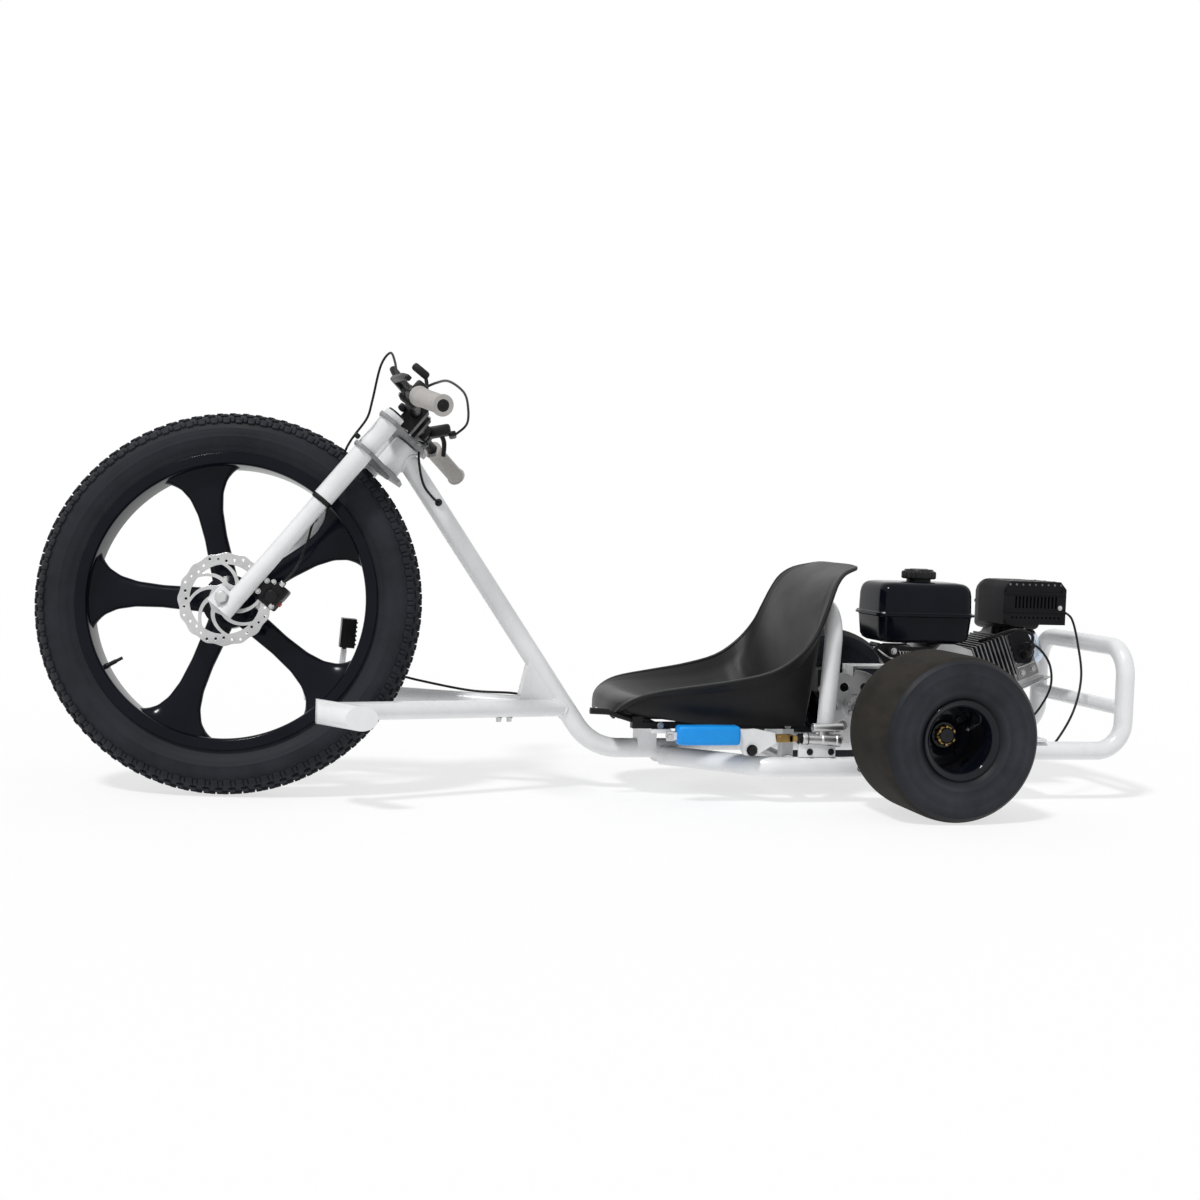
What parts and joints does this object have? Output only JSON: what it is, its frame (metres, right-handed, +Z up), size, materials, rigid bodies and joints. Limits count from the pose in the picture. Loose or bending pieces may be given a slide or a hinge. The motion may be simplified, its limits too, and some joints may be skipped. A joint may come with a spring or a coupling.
{
  "type": "gas-engined drift trike",
  "caption": "Low gas-engined drift trike with a large steered front wheel, bucket seat, hand brake, rear bumper and a live axle on slick rear tyres.",
  "frame": {"origin": "on the ground under the middle of the overall length and width", "axes": "+X forward, +Y to the rider's left, +Z up"},
  "size_m": [2.2131, 0.862, 0.8545],
  "materials": {
    "frame_paint": "gloss",
    "bright_metal": "satin",
    "cast_alloy": "cast",
    "black_paint": "gloss",
    "black_plastic": "satin",
    "seat_shell": "satin",
    "blue_vinyl": "satin",
    "grip_rubber": "matte",
    "tyre_rubber": "matte",
    "hose_rubber": "satin",
    "valve_steel": "plated"
  },
  "bodies": {
    "frame": {"head_tube": "frame_paint", "backbone": "frame_paint", "gusset": "frame_paint", "foot_tubes": "frame_paint", "foot_pegs": "frame_paint", "side_rails": "frame_paint", "rear_bumper": "frame_paint", "seat_hoop": "frame_paint", "cross_members": "frame_paint", "engine_plate": "frame_paint", "axle_carriers": "frame_paint", "brake_lever": "bright_metal", "master_cylinder": "bright_metal", "engine_bracket": "bright_metal", "drive_chain": "bright_metal", "crankcase": "cast_alloy", "engine_cylinder": "cast_alloy", "clutch": "cast_alloy", "valve_cover": "valve_steel", "fuel_tank": "black_paint", "muffler": "black_paint", "seat_slides": "black_plastic", "foot_pedal": "black_plastic", "fuel_cap": "black_plastic", "air_cleaner": "black_plastic", "recoil_starter": "black_plastic", "throttle_linkage": "black_plastic", "rear_caliper": "black_plastic", "seat": "seat_shell", "brake_grip": "blue_vinyl", "frame_cables": "hose_rubber"},
    "steering": {"fork_crown": "frame_paint", "fork_uppers": "frame_paint", "fork_lowers": "frame_paint", "bar_clamps": "black_plastic", "handlebar": "black_plastic", "grips": "grip_rubber", "controls": "black_plastic", "front_axle": "bright_metal", "front_caliper": "black_plastic", "front_hose": "hose_rubber"},
    "front_wheel": {"front_tyre": "tyre_rubber", "front_wheel": "black_paint", "brake_rotor": "bright_metal"},
    "rear_axle": {"axle_shaft": "bright_metal", "rear_rims": "black_paint", "rear_tyres": "tyre_rubber", "sprocket": "bright_metal", "rear_disc": "bright_metal"}
  },
  "joints": [
    {"name": "steering", "type": "hinge", "parent": "frame", "child": "steering", "pos_m": [0.69582, 0, 0.33069], "axis": [-0.6293, 0, 0.7771], "range_deg": [-3.25, 30.75]},
    {"name": "front_wheel_spin", "type": "hinge", "parent": "steering", "child": "front_wheel", "pos_m": [0.74111, -0.01426, 0.36737], "axis": [0.1847, 0.9713, 0.1496], "continuous": true},
    {"name": "rear_axle_spin", "type": "hinge", "parent": "frame", "child": "rear_axle", "pos_m": [-0.60355, 0, 0.16], "axis": [0, 1, 0], "continuous": true}
  ]
}
